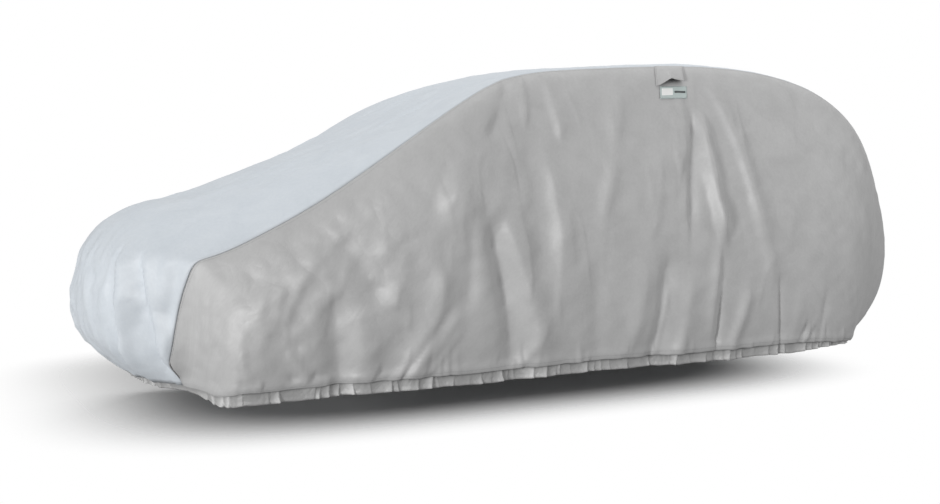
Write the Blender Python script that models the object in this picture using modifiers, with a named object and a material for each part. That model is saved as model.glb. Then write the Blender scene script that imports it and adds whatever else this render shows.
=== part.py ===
"""A fitted cloth car cover of hatchback size, in the shape in which it hangs when it is on.

Three sewn panels make the hollow shell: a light centre panel from the front hem over the nose, the front slope
and the roof down to the rear hem, and a grey side panel on the left and on the right. A gathered elastic band
closes the hem all round. A small flap hangs from the left roof seam, with a blank label under it.

Sizes are in metres. In the tables X runs from front to back, Y from left to right and Z up from the ground.
The finished part is moved so that its origin is the point under the roof that holds it up.
"""

from collections import namedtuple

import bmesh
import bpy
import numpy as np

# Cloth, seams and hem
CLOTH = 0.002
SEAM_GAP = 0.0012  # clear space between two sewn edges
BEZIER_MID = 4 / 3  # reach of a cubic's inner points that puts its middle on a chosen point
SIDE_TURN = 0.5  # how far the side panels carry on along the centre panel's line before they turn down
SIDE_LEAN = 0.16  # how far the cloth leans out above the hem, as a share of its rise
SIDE_RISE = 0.55  # share of the panel's height over which the hem end of its curve stands up

BAND_CLOTH = 0.003  # the band is cloth folded over the elastic
BAND_DROP = 0.052  # height of the band below the panels
BAND_TUCK = 0.006  # how far the band reaches up behind the panels
BAND_INSET = 0.009  # from the panels' inner face in to the band's inner face
BAND_CURL = 0.006  # how far the elastic draws the lower edge in
END_DROP = 0.030  # the same two under the nose and the tail, where the band turns further in
END_CURL = 0.020
NOSE_FROM_X, NOSE_FULL_X = -1.74, -1.89
TAIL_FROM_X, TAIL_FULL_X = 1.88, 2.08
GATHER_DEPTH = 0.004
GATHER_COUNTS = (61, 97)  # waves round the hem, two rows of them so that no two gathers are alike
GATHER_SHARES = (0.6, 0.4)

# How finely each piece is cut
LEFT_ROWS = 13
RIGHT_ROWS = 12
CENTRE_ROWS = 8
BAND_COLUMNS = 240
BAND_ROWS = 1

# One row for each section, from the front hem, over the top, to the rear hem. The seam runs where the side
# panel meets the centre panel, the middle is the centre line, and the foot is the hem under that section.
# Half widths count out from the centre line. Reach is how far the centre panel stays flat beside the seam,
# and cuts is the number of columns between the section and the next.
Section = namedtuple("Section", "name seam_x seam_w seam_z mid_x mid_z reach foot_x foot_w foot_z cuts")
SECTIONS = [
    #                           seam_x seam_w seam_z   mid_x  mid_z  reach  foot_x foot_w foot_z cuts
    Section("front hem", -1.893, 0.520, 0.269, -2.035, 0.269, 0.30, -1.893, 0.520, 0.269, 2),
    Section("front low", -1.950, 0.600, 0.420, -2.215, 0.420, 0.30, -1.865, 0.590, 0.263, 2),
    Section("front middle", -1.946, 0.642, 0.580, -2.275, 0.600, 0.30, -1.830, 0.680, 0.257, 3),
    Section("front high", -1.903, 0.700, 0.780, -2.218, 0.850, 0.30, -1.795, 0.770, 0.253, 1),
    Section("nose corner", -1.872, 0.715, 0.836, -2.160, 0.955, 0.32, -1.766, 0.816, 0.250, 1),
    Section("nose lip", -1.820, 0.724, 0.857, -2.070, 1.022, 0.34, -1.742, 0.850, 0.249, 4),
    Section("deck front", -1.620, 0.750, 0.940, -1.820, 1.102, 0.38, -1.560, 0.866, 0.248, 4),
    Section("deck back", -1.400, 0.750, 1.050, -1.530, 1.198, 0.38, -1.340, 0.865, 0.249, 4),
    Section("slope foot", -1.150, 0.750, 1.200, -1.200, 1.318, 0.30, -1.100, 0.865, 0.250, 5),
    Section("slope middle", -0.820, 0.740, 1.415, -0.830, 1.462, 0.28, -0.800, 0.865, 0.251, 5),
    Section("slope top", -0.500, 0.690, 1.605, -0.490, 1.628, 0.26, -0.490, 0.865, 0.252, 6),
    Section("roof corner", -0.250, 0.600, 1.700, -0.230, 1.732, 0.22, -0.250, 0.865, 0.253, 11),
    Section("roof front", 0.250, 0.590, 1.765, 0.260, 1.797, 0.22, 0.250, 0.865, 0.257, 14),
    Section("roof middle", 0.900, 0.590, 1.802, 0.900, 1.843, 0.22, 0.880, 0.865, 0.270, 13),
    Section("roof back", 1.500, 0.600, 1.762, 1.520, 1.810, 0.22, 1.400, 0.865, 0.277, 6),
    Section("roof end", 1.860, 0.620, 1.645, 1.940, 1.705, 0.24, 1.660, 0.860, 0.268, 4),
    Section("back slope", 2.095, 0.640, 1.450, 2.215, 1.490, 0.26, 1.830, 0.835, 0.255, 4),
    Section("back high", 2.235, 0.650, 1.150, 2.370, 1.160, 0.28, 1.940, 0.790, 0.245, 3),
    Section("back middle", 2.330, 0.650, 0.800, 2.475, 0.800, 0.30, 2.010, 0.730, 0.240, 3),
    Section("back low", 2.305, 0.630, 0.500, 2.450, 0.500, 0.30, 2.070, 0.670, 0.237, 3),
    Section("rear hem", 2.100, 0.600, 0.235, 2.190, 0.235, 0.30, 2.100, 0.600, 0.235, 0),
]

# The cover is held up under the middle of its roof
HELD_SECTION = "roof middle"

# A fold is drawn on the face that it crosses. Its two coordinates there are those of FACES.
Face = namedtuple("Face", "first second outward fades_from full_at")
FACES = {
    "left": Face(0, 2, (0, -1, 0), 0.25, 0.50),
    "right": Face(0, 2, (0, 1, 0), 0.25, 0.50),
    "front": Face(1, 2, (-1, 0, 0), 1.30, 1.70),
    "rear": Face(1, 2, (1, 0, 0), 1.60, 1.90),
    "top": Face(0, 1, (0, 0, 1), 0.75, 0.90),
}
END_FADE = 0.25  # share of a fold's length over which each end dies out

# One row for each fold: where it starts and ends, how far its middle bows aside, its width on either side of
# that line, and its height, which is above nought for a ridge and below for a trough.
FOLD_CREST = 1.6  # 2 is a round crest, and a smaller number a sharper one
Fold = namedtuple("Fold", "name face start_a start_b end_a end_b bow before after height")
FOLDS = [
    #                                   start_a start_b  end_a  end_b    bow  before  after height
    Fold("shoulder bump", "left", -0.80, 1.16, -0.44, 0.98, 0.0, 0.110, 0.110, 0.030),
    Fold("roof corner tuck", "left", -0.22, 1.76, -0.30, 1.48, 0.0, 0.035, 0.018, 0.012),
    Fold("roof corner hollow", "left", -0.28, 1.68, -0.54, 1.42, 0.0, 0.040, 0.035, -0.014),
    Fold("roof corner fall", "left", -0.13, 1.78, -0.07, 1.38, -0.010, 0.026, 0.022, 0.015),
    Fold("upper hollow", "left", 0.00, 1.66, -0.06, 1.20, 0.0, 0.050, 0.060, -0.010),
    Fold("front fall", "left", -0.24, 1.38, -0.14, 0.50, -0.049, 0.065, 0.036, 0.017),
    Fold("shoulder side trough", "left", -0.74, 1.16, -0.66, 0.60, -0.007, 0.036, 0.040, -0.012),
    Fold("shoulder trough", "left", -0.58, 1.22, -0.37, 0.18, -0.004, 0.028, 0.050, -0.028),
    Fold("shoulder ridge", "left", -0.51, 1.14, -0.27, 0.18, -0.034, 0.070, 0.075, 0.030),
    Fold("mid ridge", "left", 0.25, 1.68, 0.20, 1.34, 0.0, 0.045, 0.025, 0.011),
    Fold("mid trough", "left", 0.32, 1.60, 0.16, 0.82, -0.004, 0.024, 0.055, -0.018),
    Fold("low mid ridge", "left", 0.12, 0.88, 0.21, 0.20, 0.004, 0.036, 0.050, 0.012),
    Fold("low mid trough", "left", 0.53, 0.90, 0.31, 0.18, -0.003, 0.028, 0.060, -0.022),
    Fold("low bright ridge", "left", 0.70, 0.72, 0.51, 0.16, 0.006, 0.046, 0.026, 0.024),
    Fold("label fall", "left", 0.67, 1.66, 0.71, 1.40, -0.011, 0.036, 0.024, 0.009),
    Fold("rear trough", "left", 0.76, 1.68, 0.61, 0.84, 0.006, 0.020, 0.036, -0.022),
    Fold("rear ridge", "left", 0.85, 1.64, 0.88, 0.66, 0.072, 0.052, 0.024, 0.027),
    Fold("split trough", "left", 0.89, 1.58, 1.04, 0.82, -0.002, 0.020, 0.032, -0.014),
    Fold("long rear ridge", "left", 0.87, 1.90, 1.17, 0.58, 0.014, 0.044, 0.024, 0.026),
    Fold("back trough", "left", 1.14, 1.60, 1.26, 0.66, -0.010, 0.020, 0.060, -0.010),
    Fold("first pleat", "left", 0.88, 0.96, 0.90, 0.14, 0.016, 0.020, 0.030, -0.012),
    Fold("second pleat", "left", 1.20, 0.88, 1.34, 0.14, 0.0, 0.020, 0.032, -0.012),
    Fold("hem ridge", "left", 1.05, 0.60, 0.90, 0.20, 0.0, 0.034, 0.030, 0.015),
    Fold("rear hem ridge", "left", 1.34, 0.66, 1.38, 0.20, 0.0, 0.040, 0.040, 0.010),
    Fold("front hem trough", "left", -1.31, 0.68, -1.27, 0.24, 0.0, 0.028, 0.024, -0.018),
    Fold("front hem ridge", "left", -1.28, 0.70, -1.18, 0.24, 0.010, 0.026, 0.036, 0.015),
    Fold("drag ridge", "left", -0.85, 0.92, -1.07, 0.24, -0.070, 0.056, 0.026, 0.022),
    Fold("drag trough", "left", -0.73, 0.62, -1.02, 0.20, -0.010, 0.024, 0.020, -0.020),
    Fold("drag lip", "left", -0.69, 0.60, -0.95, 0.22, -0.005, 0.028, 0.034, 0.014),
    Fold("front hollow", "left", -1.26, 0.98, -1.06, 0.60, 0.0, 0.070, 0.080, -0.012),
    Fold("corner ridge", "left", -1.79, 0.68, -1.75, 0.24, 0.0, 0.036, 0.036, 0.012),
    Fold("long nose ridge", "front", -0.36, 0.94, -0.27, 0.20, 0.100, 0.036, 0.022, 0.020),
    Fold("thin nose ridge", "front", -0.35, 0.86, -0.41, 0.56, 0.012, 0.018, 0.018, 0.008),
    Fold("nose trough", "front", -0.44, 0.82, -0.53, 0.36, 0.029, 0.020, 0.034, -0.018),
    Fold("nose corner ridge", "front", -0.51, 0.86, -0.52, 0.22, 0.060, 0.044, 0.028, 0.015),
    Fold("far nose ridge", "front", 0.06, 0.98, -0.26, 0.62, 0.0, 0.045, 0.045, 0.012),
    Fold("hidden nose ridge", "front", 0.34, 0.92, 0.24, 0.22, -0.070, 0.050, 0.050, 0.014),
    Fold("nose lip", "front", -0.74, 0.82, 0.74, 0.84, 0.0, 0.045, 0.045, 0.012),
    Fold("near ripple", "top", -1.85, -0.50, -1.10, -0.54, 0.0, 0.050, 0.050, 0.006),
    Fold("middle ripple", "top", -2.00, -0.18, -1.15, -0.30, 0.030, 0.045, 0.045, 0.007),
    Fold("far ripple", "top", -1.95, 0.22, -1.25, 0.12, 0.030, 0.050, 0.050, 0.006),
    Fold("far shoulder bump", "right", -0.80, 1.16, -0.44, 0.98, 0.0, 0.110, 0.110, 0.030),
    Fold("far shoulder trough", "right", -0.58, 1.16, -0.44, 0.20, 0.0, 0.060, 0.040, -0.022),
    Fold("far shoulder ridge", "right", -0.50, 1.20, -0.22, 0.18, -0.030, 0.065, 0.065, 0.024),
    Fold("far corner fall", "right", -0.12, 1.80, 0.02, 1.10, 0.0, 0.040, 0.030, 0.018),
    Fold("far mid trough", "right", 0.34, 1.50, 0.24, 0.20, 0.0, 0.055, 0.040, -0.018),
    Fold("far low ridge", "right", 0.52, 0.96, 0.44, 0.18, 0.0, 0.050, 0.040, 0.018),
    Fold("far rear trough", "right", 0.72, 1.60, 0.66, 0.20, 0.0, 0.040, 0.030, -0.020),
    Fold("far rear ridge", "right", 0.90, 1.86, 1.08, 0.50, 0.020, 0.050, 0.036, 0.026),
    Fold("far back trough", "right", 1.12, 1.70, 1.26, 0.40, 0.0, 0.034, 0.050, -0.020),
    Fold("far hem ridge", "right", 1.34, 0.90, 1.42, 0.18, 0.0, 0.055, 0.040, 0.018),
    Fold("far drag ridge", "right", -0.84, 0.90, -1.04, 0.22, -0.060, 0.060, 0.040, 0.020),
    Fold("far front trough", "right", -1.34, 0.72, -1.28, 0.22, 0.0, 0.050, 0.036, -0.018),
    Fold("back fold", "rear", -0.20, 1.00, -0.34, 0.20, 0.040, 0.060, 0.060, 0.014),
    Fold("back hollow", "rear", 0.18, 0.90, 0.26, 0.20, 0.0, 0.060, 0.060, -0.012),
]

# Flap and label, placed by distance along the seam and by share of the drop from the seam to the hem
Patch = namedtuple("Patch", "from_x to_x from_share to_share rows columns")
FLAP = Patch(0.605, 0.785, 0.004, 0.170, 5, 6)
LABEL = Patch(0.600, 0.800, 0.205, 0.265, 2, 6)
PATCH_OUT = (0, -0.77, 0.64)  # square to the side panel just below the roof
FLAP_CLEAR = 0.005  # the panel's cloth and the air under the flap's sewn edge
FLAP_STAND = 0.020  # how far the flap's free edge stands off
FLAP_FOLD = 0.008  # ridge down the middle of the flap
LABEL_CLOTH = 0.001
LABEL_CLEAR = 0.005

# Colours are linear RGB
LIGHT_CLOTH = (0.60, 0.64, 0.68)
GREY_CLOTH = (0.44, 0.44, 0.44)
BAND_GREY = (0.50, 0.50, 0.50)
LABEL_GREEN = (0.55, 0.61, 0.60)
CLOTH_ROUGHNESS = 0.6


def clear_scene():
    for thing in list(bpy.data.objects):
        bpy.data.objects.remove(thing, do_unlink=True)


def smooth_step(share):
    share = np.clip(share, 0, 1)
    return share * share * (3 - 2 * share)


def spline(knots, rows, places):
    """Natural cubic curve through one row of values for each knot, read at the places."""
    steps = np.diff(knots)
    slopes = np.diff(rows, axis=0) / steps[:, None]
    matrix = np.eye(len(knots))
    right = np.zeros_like(rows)
    for i in range(1, len(knots) - 1):
        matrix[i, i - 1 : i + 2] = steps[i - 1], 2 * (steps[i - 1] + steps[i]), steps[i]
        right[i] = 6 * (slopes[i] - slopes[i - 1])
    bends = np.linalg.solve(matrix, right)
    i = np.clip(np.searchsorted(knots, places) - 1, 0, len(knots) - 2)
    step = steps[i][:, None]
    before = (knots[i + 1] - places)[:, None] / step
    after = 1 - before
    curve = (before**3 - before) * bends[i] + (after**3 - after) * bends[i + 1]
    return before * rows[i] + after * rows[i + 1] + curve * step**2 / 6


def seam_knots():
    """Distance of each section along the seam."""
    seam = np.array([(row.seam_x, row.seam_w, row.seam_z) for row in SECTIONS])
    return np.concatenate([[0], np.cumsum(np.linalg.norm(np.diff(seam, axis=0), axis=1))])


def seam_columns():
    """Distances along the seam of every column of the panels."""
    knots = seam_knots()
    places = [np.linspace(knots[i], knots[i + 1], row.cuts, endpoint=False) for i, row in enumerate(SECTIONS[:-1])]
    return np.concatenate(places + [knots[-1:]])


def outline_at(places):
    """Seam, seam handle and foot of the left half at distances along the seam."""
    table = np.array([row[1:-1] for row in SECTIONS])
    seam_x, seam_w, seam_z, mid_x, mid_z, reach, foot_x, foot_w, foot_z = spline(seam_knots(), table, places).T
    seam = np.stack([seam_x, -seam_w, seam_z], axis=1)
    handle = np.stack([(seam_x - mid_x) * BEZIER_MID, -reach, (seam_z - mid_z) * BEZIER_MID], axis=1)
    foot = np.stack([foot_x, -foot_w, foot_z], axis=1)
    return seam, handle, foot


def bezier(first, second, third, fourth, shares):
    """Cubic curves, one column each, read at the shares of their run."""
    t = shares[None, :, None]
    first, second, third, fourth = (point[:, None, :] for point in (first, second, third, fourth))
    return (1 - t) ** 3 * first + 3 * (1 - t) ** 2 * t * second + 3 * (1 - t) * t**2 * third + t**3 * fourth


def unit(vectors):
    return vectors / np.maximum(np.linalg.norm(vectors, axis=-1, keepdims=True), 1e-9)


def folded(points):
    """Move the points of the plain surface out or in wherever a fold crosses them."""
    moved = points.copy()
    for fold in FOLDS:
        face = FACES[fold.face]
        outward = np.array(face.outward)
        a = points[..., face.first] - fold.start_a
        b = points[..., face.second] - fold.start_b
        run_a = fold.end_a - fold.start_a
        run_b = fold.end_b - fold.start_b
        length = np.hypot(run_a, run_b)
        along = (a * run_a + b * run_b) / length**2
        across = (a * run_b - b * run_a) / length - fold.bow * 4 * along * (1 - along)
        ends = smooth_step(along / END_FADE) * smooth_step((1 - along) / END_FADE)
        facing = smooth_step((points @ outward - face.fades_from) / (face.full_at - face.fades_from))
        width = np.where(across > 0, fold.before, fold.after)
        height = fold.height * np.exp(-(np.abs(across / width) ** FOLD_CREST)) * ends * facing
        moved += height[..., None] * outward
    return moved


def side_surface(places, shares, far=False):
    """Folded points of a side panel, a column for each distance along the seam."""
    seam, handle, foot = outline_at(places)
    drop = np.linalg.norm(seam - foot, axis=1, keepdims=True)
    reach = np.linalg.norm(handle, axis=1, keepdims=True)
    leaving = handle * np.minimum(1, drop / (3 * reach)) * SIDE_TURN
    hem_run = np.gradient(foot, axis=0)
    outward = unit(np.stack([hem_run[:, 1], -hem_run[:, 0], 0 * hem_run[:, 0]], axis=1))
    rise = (seam[:, 2:] - foot[:, 2:]) * SIDE_RISE
    arriving = foot + rise * (np.array([0, 0, 1]) + SIDE_LEAN * outward)
    points = bezier(seam, seam + leaving, arriving, foot, shares)
    if far:
        points = points * (1, -1, 1)
    return folded(points)


def side_panel(rows, far=False):
    """Grid of a side panel, set back from the seam by half the gap."""
    places = seam_columns()
    grid = side_surface(places, np.linspace(0, 1, rows + 1), far)
    away = unit(outline_at(places)[1]) * (1, -1 if far else 1, 1)
    grid[:, 0] += away * SEAM_GAP / 2
    grid[0] = grid[0, :1]
    grid[-1] = grid[-1, :1]
    return grid


def centre_panel():
    """Grid of the centre panel, with its rows closer together beside the seams."""
    places = seam_columns()
    seam, handle, _ = outline_at(places)
    mirror = np.array([1, -1, 1])
    shares = 0.5 - 0.5 * np.cos(np.linspace(0, np.pi, CENTRE_ROWS + 1))
    grid = folded(bezier(seam, seam - handle, (seam - handle) * mirror, seam * mirror, shares))
    grid[:, 0] -= unit(handle) * SEAM_GAP / 2
    grid[:, -1] -= unit(handle) * mirror * SEAM_GAP / 2
    return grid


def hem_loop(left, right, centre):
    """Evenly spaced points once round the panels' lower edge, from the left front corner back."""
    loop = np.concatenate([left[:, -1], centre[-1, 1:-1], right[::-1, -1], centre[0, -2:0:-1], left[:1, -1]])
    reached = np.concatenate([[0], np.cumsum(np.linalg.norm(np.diff(loop, axis=0), axis=1))])
    places = np.linspace(0, reached[-1], BAND_COLUMNS + 1)
    return np.stack([np.interp(places, reached, loop[:, axis]) for axis in range(3)], axis=1)


def hem_band(left, right, centre):
    """Grid of the gathered band, tucked behind the panels' edge and drawn in at its own."""
    loop = hem_loop(left, right, centre)
    run = np.roll(loop, -1, axis=0) - np.roll(loop, 1, axis=0)
    run[0] = run[-1] = loop[1] - loop[-2]
    inward = unit(np.stack([-run[:, 1], run[:, 0], 0 * run[:, 0]], axis=1))
    turn = np.linspace(0, 2 * np.pi, len(loop))
    gathers = sum(share * np.sin(count * turn) for count, share in zip(GATHER_COUNTS, GATHER_SHARES))
    nose = smooth_step((loop[:, 0] - NOSE_FROM_X) / (NOSE_FULL_X - NOSE_FROM_X))
    tail = smooth_step((loop[:, 0] - TAIL_FROM_X) / (TAIL_FULL_X - TAIL_FROM_X))
    drop = BAND_DROP + (nose + tail) * (END_DROP - BAND_DROP)
    curl = BAND_CURL + (nose + tail) * (END_CURL - BAND_CURL)
    grid = np.empty((len(loop), BAND_ROWS + 1, 3))
    for row, share in enumerate(np.linspace(0, 1, BAND_ROWS + 1)):
        drawn = BAND_INSET + share * (curl + GATHER_DEPTH * gathers)
        grid[:, row] = loop + drawn[:, None] * inward
        grid[:, row, 2] = loop[:, 2] + BAND_TUCK - share * (BAND_TUCK + drop)
    return grid


def patch_on_left(patch, lift):
    """Grid that lies over the left panel between two places, lifted off it by a function of its own shares."""
    seam_x = np.array([row.seam_x for row in SECTIONS[11:16]])
    knots = seam_knots()[11:16]
    places = np.interp(np.linspace(patch.from_x, patch.to_x, patch.columns + 1), seam_x, knots)
    grid = side_surface(places, np.linspace(patch.from_share, patch.to_share, patch.rows + 1))
    across = np.linspace(0, 1, patch.columns + 1)[:, None]
    down = np.linspace(0, 1, patch.rows + 1)[None, :]
    return grid + lift(across, down)[..., None] * np.array(PATCH_OUT)


def flap_lift(across, down):
    arch = np.sin(np.pi * across)
    ridge = np.exp(-(((across - 0.5) / 0.15) ** 2))
    return FLAP_CLEAR + down * (FLAP_STAND * (0.4 + 0.6 * arch) + FLAP_FOLD * ridge)


def label_lift(across, down):
    return LABEL_CLEAR + 0 * across * down


def cloth_material(name, colour):
    material = bpy.data.materials.new(name)
    material.use_nodes = True
    shader = material.node_tree.nodes["Principled BSDF"]
    shader.inputs["Base Color"].default_value = (*colour, 1)
    shader.inputs["Roughness"].default_value = CLOTH_ROUGHNESS
    shader.inputs["Metallic"].default_value = 0
    return material


def add_sheet(collection, name, grid, origin, thickness, colour, inside_out=False):
    """Drape a plane grid over the points, then thicken it outward."""
    columns, rows = grid.shape[0] - 1, grid.shape[1] - 1
    plane = bmesh.new()
    bmesh.ops.create_grid(plane, x_segments=columns, y_segments=rows, size=1)
    places = grid.transpose(1, 0, 2).reshape(-1, 3) - origin
    for vertex, place in zip(plane.verts, places):
        vertex.co = place
    bmesh.ops.remove_doubles(plane, verts=plane.verts, dist=0.00005)
    if inside_out:
        bmesh.ops.reverse_faces(plane, faces=plane.faces)
    mesh = bpy.data.meshes.new(name)
    plane.to_mesh(mesh)
    plane.free()
    mesh.shade_smooth()
    mesh.materials.append(cloth_material(name, colour))
    sheet = bpy.data.objects.new(name, mesh)
    collection.objects.link(sheet)
    thicken = sheet.modifiers.new("Cloth", "SOLIDIFY")
    thicken.thickness = thickness
    thicken.offset = 1
    return sheet


def held_point():
    """Middle of the roof's underside, in the frame of the sections."""
    row = next(row for row in SECTIONS if row.name == HELD_SECTION)
    return np.array([row.mid_x, 0, row.mid_z])


def build():
    clear_scene()
    collection = bpy.data.collections.new("car_cover")
    bpy.context.scene.collection.children.link(collection)
    origin = held_point()
    left = side_panel(LEFT_ROWS)
    right = side_panel(RIGHT_ROWS, far=True)
    centre = centre_panel()
    band = hem_band(left, right, centre)
    flap = patch_on_left(FLAP, flap_lift)
    label = patch_on_left(LABEL, label_lift)
    add_sheet(collection, "centre_panel", centre, origin, CLOTH, LIGHT_CLOTH)
    add_sheet(collection, "side_panel_left", left, origin, CLOTH, GREY_CLOTH, inside_out=True)
    add_sheet(collection, "side_panel_right", right, origin, CLOTH, GREY_CLOTH)
    add_sheet(collection, "hem_band", band, origin, BAND_CLOTH, BAND_GREY, inside_out=True)
    add_sheet(collection, "flap", flap, origin, CLOTH, GREY_CLOTH, inside_out=True)
    add_sheet(collection, "label", label, origin, LABEL_CLOTH, LABEL_GREEN, inside_out=True)


build()
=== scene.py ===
import math
from collections import namedtuple

import bmesh
import bpy
import numpy as np
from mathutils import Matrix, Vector


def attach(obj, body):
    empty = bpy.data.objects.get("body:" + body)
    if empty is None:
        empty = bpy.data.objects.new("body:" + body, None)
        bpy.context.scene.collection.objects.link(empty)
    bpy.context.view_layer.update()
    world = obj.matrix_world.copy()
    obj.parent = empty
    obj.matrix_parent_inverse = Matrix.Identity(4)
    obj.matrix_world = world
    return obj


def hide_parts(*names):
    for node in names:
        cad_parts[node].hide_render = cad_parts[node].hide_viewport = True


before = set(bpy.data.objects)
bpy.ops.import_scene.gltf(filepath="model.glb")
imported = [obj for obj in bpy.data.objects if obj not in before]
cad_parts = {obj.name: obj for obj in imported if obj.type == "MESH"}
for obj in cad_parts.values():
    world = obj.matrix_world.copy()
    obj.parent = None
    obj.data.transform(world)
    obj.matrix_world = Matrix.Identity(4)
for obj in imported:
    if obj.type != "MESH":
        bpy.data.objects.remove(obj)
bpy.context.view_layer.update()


# The studio. A pale floor under the cover, low soft lights at the front on both sides, one high above, a
# weaker one at the back on the left, one beside the camera for the sheen alone, and the camera at the
# photograph's angle. None of it belongs to the cover.

CAMERA_PLACE = (-4.007, -5.638, -0.620)
CAMERA_YAW, CAMERA_PITCH = math.radians(27.55), math.radians(-3.96)
PHOTO_WIDTH, FOCAL_LENGTH = 940, 1144  # pixels
SENSOR_WIDTH = 36  # millimetres


def put_in_scene(name, data):
    """A new object with this data, placed in the scene."""
    thing = bpy.data.objects.new(name, data)
    bpy.context.scene.collection.objects.link(thing)
    return thing


def turn_to(way):
    """The turn that makes a camera or a lamp look along a direction."""
    return way.to_track_quat("-Z", "Y").to_euler()


camera = put_in_scene("camera", bpy.data.cameras.new("camera"))
camera.data.lens = FOCAL_LENGTH / PHOTO_WIDTH * SENSOR_WIDTH
camera.data.sensor_width = SENSOR_WIDTH
camera.location = CAMERA_PLACE
camera.rotation_euler = turn_to(Vector((math.sin(CAMERA_YAW) * math.cos(CAMERA_PITCH),
                                        math.cos(CAMERA_YAW) * math.cos(CAMERA_PITCH),
                                        math.sin(CAMERA_PITCH))))
bpy.context.scene.camera = camera
bpy.context.scene.view_settings.view_transform = "Standard"

LIGHTS_AIM = Vector((0.0, -0.3, -0.9))
SoftLight = namedtuple("SoftLight", "name place size power")
SOFT_LIGHTS = [
    SoftLight("front_left_light", (-21.8, -10.4, 0.9), 4.0, 3560),
    SoftLight("front_right_light", (-11.3, 3.8, 1.4), 5.0, 60),
    SoftLight("high_light", (3.0, 3.2, 9.2), 6.0, 1000),
    SoftLight("rear_left_light", (9.2, -8.1, 3.4), 8.0, 610),
    SoftLight("sheen_light", (-6.4, -10.2, 1.0), 2.4, 1750),
]
for light in SOFT_LIGHTS:
    lamp = bpy.data.lights.new(light.name, "AREA")
    lamp.size = light.size
    lamp.energy = light.power
    holder = put_in_scene(light.name, lamp)
    holder.location = light.place
    holder.rotation_euler = turn_to(LIGHTS_AIM - Vector(light.place))
bpy.data.objects["sheen_light"].visible_diffuse = False  # it only draws the highlights on the folds
bpy.data.objects["high_light"].visible_glossy = False  # it leaves no bright rim along the roof


def wire(tree, source, socket):
    """Link a socket to another node's output, or set its value."""
    if isinstance(source, bpy.types.NodeSocket):
        tree.links.new(source, socket)
    else:
        socket.default_value = source


def add_node(tree, kind, *sources, **settings):
    """A new node with its settings, and with its sockets linked or set in order."""
    node = tree.nodes.new(kind)
    for name, value in settings.items():
        setattr(node, name, value)
    for socket, source in zip(node.inputs, sources):
        wire(tree, source, socket)
    return node


def wire_named(tree, node, **sources):
    """Link or set a node's sockets by their names, written with _ for a space."""
    for name, source in sources.items():
        wire(tree, source, node.inputs[name.replace("_", " ")])
    return node.outputs


def math_node(tree, operation, *sources):
    return add_node(tree, "ShaderNodeMath", *sources, operation=operation).outputs[0]


def new_material(name):
    """A material with its tree and its shader."""
    material = bpy.data.materials.new(name)
    material.use_nodes = True
    return material, material.node_tree, material.node_tree.nodes["Principled BSDF"]


# The camera sees a white surround, and the cover is lit by a dimmer one.
SURROUND_LIGHT = 0.32
world = bpy.data.worlds.new("studio")
world.use_nodes = True
bpy.context.scene.world = world
tree = world.node_tree
seen = tree.nodes.new("ShaderNodeLightPath").outputs["Is Camera Ray"]
strength = add_node(tree, "ShaderNodeMapRange", seen, 0.0, 1.0, SURROUND_LIGHT, 1.0).outputs["Result"]
wire_named(tree, tree.nodes["Background"], Color=(1, 1, 1, 1), Strength=strength)

# The floor is pale under the cover and thins out to the surround's white at its edge, and later on the
# right, where the shade falls. The edge is a rounded square, stretched along the cover. The thinning is
# painted shadow: it draws the soft edge of the cover's shadow on the floor.
FLOOR_Z = -1.843
FLOOR_RADIUS = 5.0
FLOOR_COLOUR = (0.50, 0.50, 0.50, 1)
FLOOR_HALF_LENGTH, FLOOR_HALF_WIDTH = 2.70, 1.80
FLOOR_MIDDLE = (-0.85, 0.85)
FLOOR_FADE_FROM = 0.58  # share of the way out at which it starts to thin
disc = bmesh.new()
bmesh.ops.create_circle(disc, cap_ends=True, segments=96, radius=FLOOR_RADIUS)
bmesh.ops.translate(disc, verts=disc.verts, vec=(0, 0, FLOOR_Z))
floor_mesh = bpy.data.meshes.new("floor")
disc.to_mesh(floor_mesh)
disc.free()
floor = put_in_scene("floor", floor_mesh)
floor_paint, tree, shader = new_material("floor_paint")
place = tree.nodes.new("ShaderNodeTexCoord").outputs["Object"]
outward = add_node(tree, "ShaderNodeVectorMath", place,
                   (1 / FLOOR_HALF_LENGTH, 1 / FLOOR_HALF_WIDTH, 0),
                   (-FLOOR_MIDDLE[0] / FLOOR_HALF_LENGTH, -FLOOR_MIDDLE[1] / FLOOR_HALF_WIDTH, 0),
                   operation="MULTIPLY_ADD").outputs["Vector"]
squared = add_node(tree, "ShaderNodeVectorMath", outward, outward, operation="MULTIPLY").outputs["Vector"]
reach = add_node(tree, "ShaderNodeVectorMath", squared, operation="LENGTH").outputs["Value"]
fade = add_node(tree, "ShaderNodeMapRange", math_node(tree, "SQRT", reach), FLOOR_FADE_FROM, 1.0, 1.0, 0.0,
                interpolation_type="SMOOTHSTEP").outputs["Result"]
wire_named(tree, shader, Base_Color=FLOOR_COLOUR, Roughness=0.9, Specular_IOR_Level=0.1, Alpha=fade)
floor_mesh.materials.append(floor_paint)


# Centre panel: one length of light blue-grey spunbond cloth from the front hem over the nose, the front
# slope and the roof to the rear hem. It is cut to the line of the two seams and lies in one smooth sheet,
# with upright folds where the elastic draws in the nose.

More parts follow.
